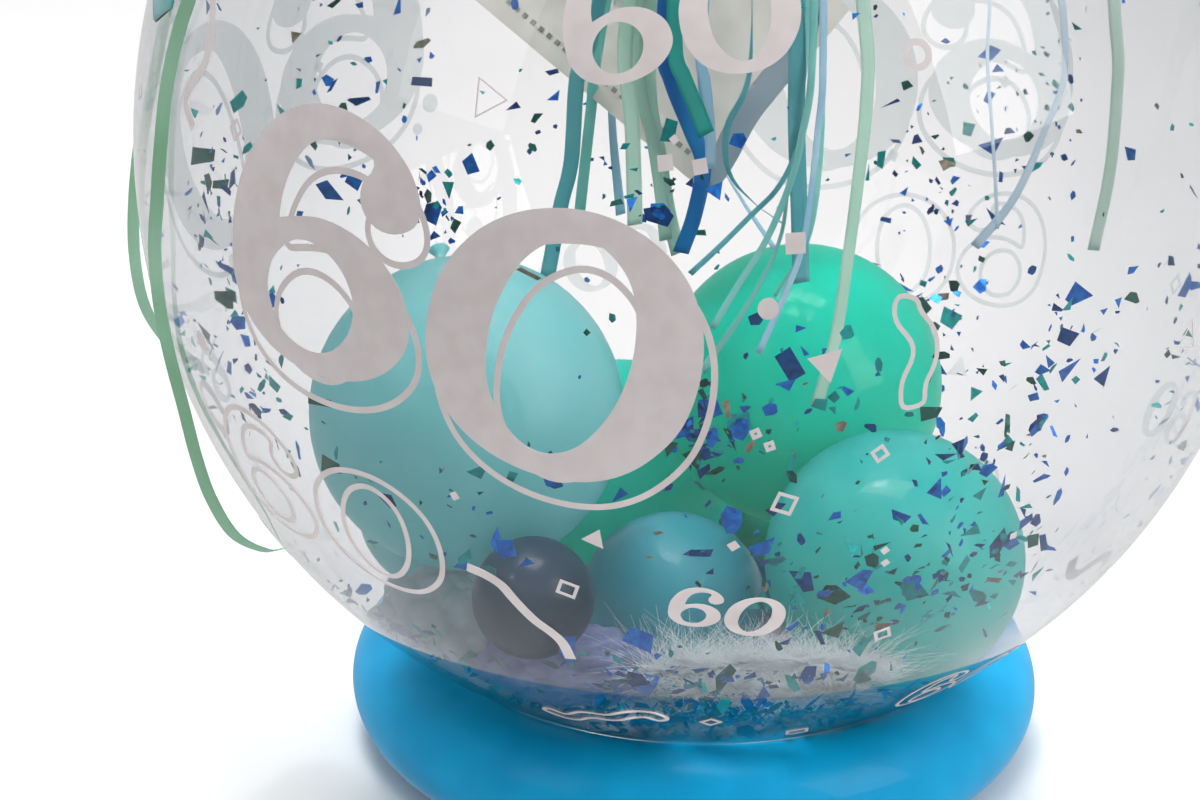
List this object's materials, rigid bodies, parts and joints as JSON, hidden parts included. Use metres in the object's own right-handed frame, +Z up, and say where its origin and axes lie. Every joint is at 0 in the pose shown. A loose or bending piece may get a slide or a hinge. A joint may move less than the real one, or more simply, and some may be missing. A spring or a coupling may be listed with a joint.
{
  "type": "gift balloon",
  "caption": "Clear round gift balloon filled with small balloons, ribbons and confetti, standing on a blue balloon ring and tied with a teal bow and curling ribbons.",
  "frame": {"origin": "on the floor, under the middle of the balloon and of the ring that it stands on", "axes": "+Z up, from the ring to the tied neck; -Y is the front, the side with the large print"},
  "size_m": [0.4578, 0.4494, 0.5806],
  "materials": {
    "clear_latex": "clear glossy stretched latex film",
    "blue_latex": "glossy stretched blue latex",
    "teal_satin": "satin",
    "sage_ribbon": "satin curling ribbon",
    "print_ink": "warm light grey print on the film",
    "mini_latex": "pearly stretched latex of the small balloons",
    "foil": "blue and teal metallic foil",
    "feather": "white down",
    "card": "matt grey card",
    "inner_ribbon": "glossy curling ribbon"
  },
  "bodies": {
    "root": {"clear_balloon": "clear_latex", "base_ring": "blue_latex", "ribbon_bow": "teal_satin", "bow_tail_left": "teal_satin", "bow_tail_right": "teal_satin", "curling_ribbon_front": "sage_ribbon", "curling_ribbon_back": "sage_ribbon"}
  },
  "joints": []
}
